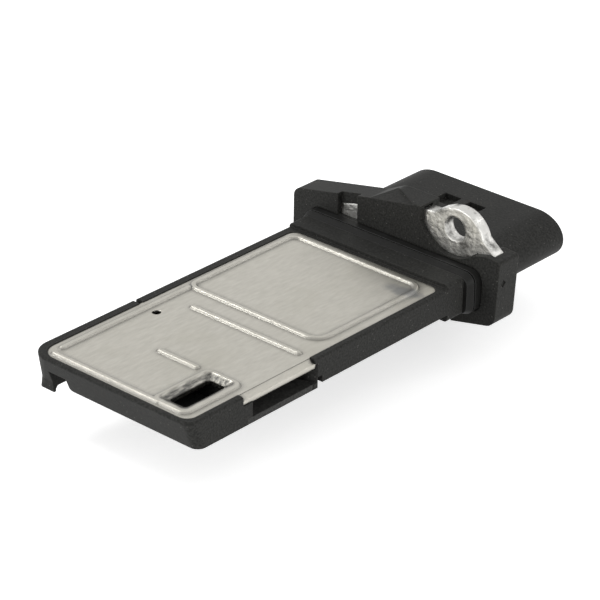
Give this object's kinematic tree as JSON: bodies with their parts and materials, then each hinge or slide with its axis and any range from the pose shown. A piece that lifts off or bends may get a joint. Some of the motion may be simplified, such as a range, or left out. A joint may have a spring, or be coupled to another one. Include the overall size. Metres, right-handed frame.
{
  "type": "mass airflow sensor",
  "caption": "Plug-in mass airflow sensor: flat black blade with an aluminium base plate and air passage, sealed neck, screw flange and oval plug connector.",
  "frame": {"origin": "on the flange's seat, midway between the two screw holes", "axes": "+Y from the blade through the flange to the connector, +Z towards the aluminium base plate's side, +X across the blade so that the axes are right-handed"},
  "size_m": [0.0453, 0.0938, 0.025],
  "materials": {
    "housing": "fine-grained moulded black",
    "cover": "moulded black",
    "base_plate": "rolled matt sheet",
    "seal": "smooth moulded",
    "flange_metal": "matt blanked sheet",
    "sealant": "cured silicone",
    "adhesive": "cured heat-conducting glue",
    "board": "fired ceramic",
    "chip_body": "moulded epoxy",
    "capacitor": "ceramic",
    "resistor": "glazed",
    "wire": "bright",
    "carrier": "moulded epoxy",
    "silicon": "polished silicon",
    "encapsulant": "cured resin",
    "thermistor": "glazed",
    "lead": "tinned",
    "terminal": "tinned"
  },
  "bodies": {
    "root": {"housing": "housing", "base_plate": "base_plate", "bypass_cover": "cover", "circuit_cover": "cover", "seal_ring": "seal", "mounting_plate": "flange_metal", "plate_sealant": "sealant", "cover_sealant": "sealant", "board_adhesive": "adhesive", "circuit_board": "board", "control_ic": "chip_body", "regulator_ic": "chip_body", "chip_capacitors": "capacitor", "chip_resistors": "resistor", "bond_wires": "wire", "sensor_carrier": "carrier", "sensor_chip": "silicon", "chip_encapsulant": "encapsulant", "thermistor": "thermistor", "thermistor_lead_1": "lead", "thermistor_lead_2": "lead", "terminal_1": "terminal", "terminal_2": "terminal", "terminal_3": "terminal", "terminal_4": "terminal", "terminal_5": "terminal"}
  },
  "joints": []
}
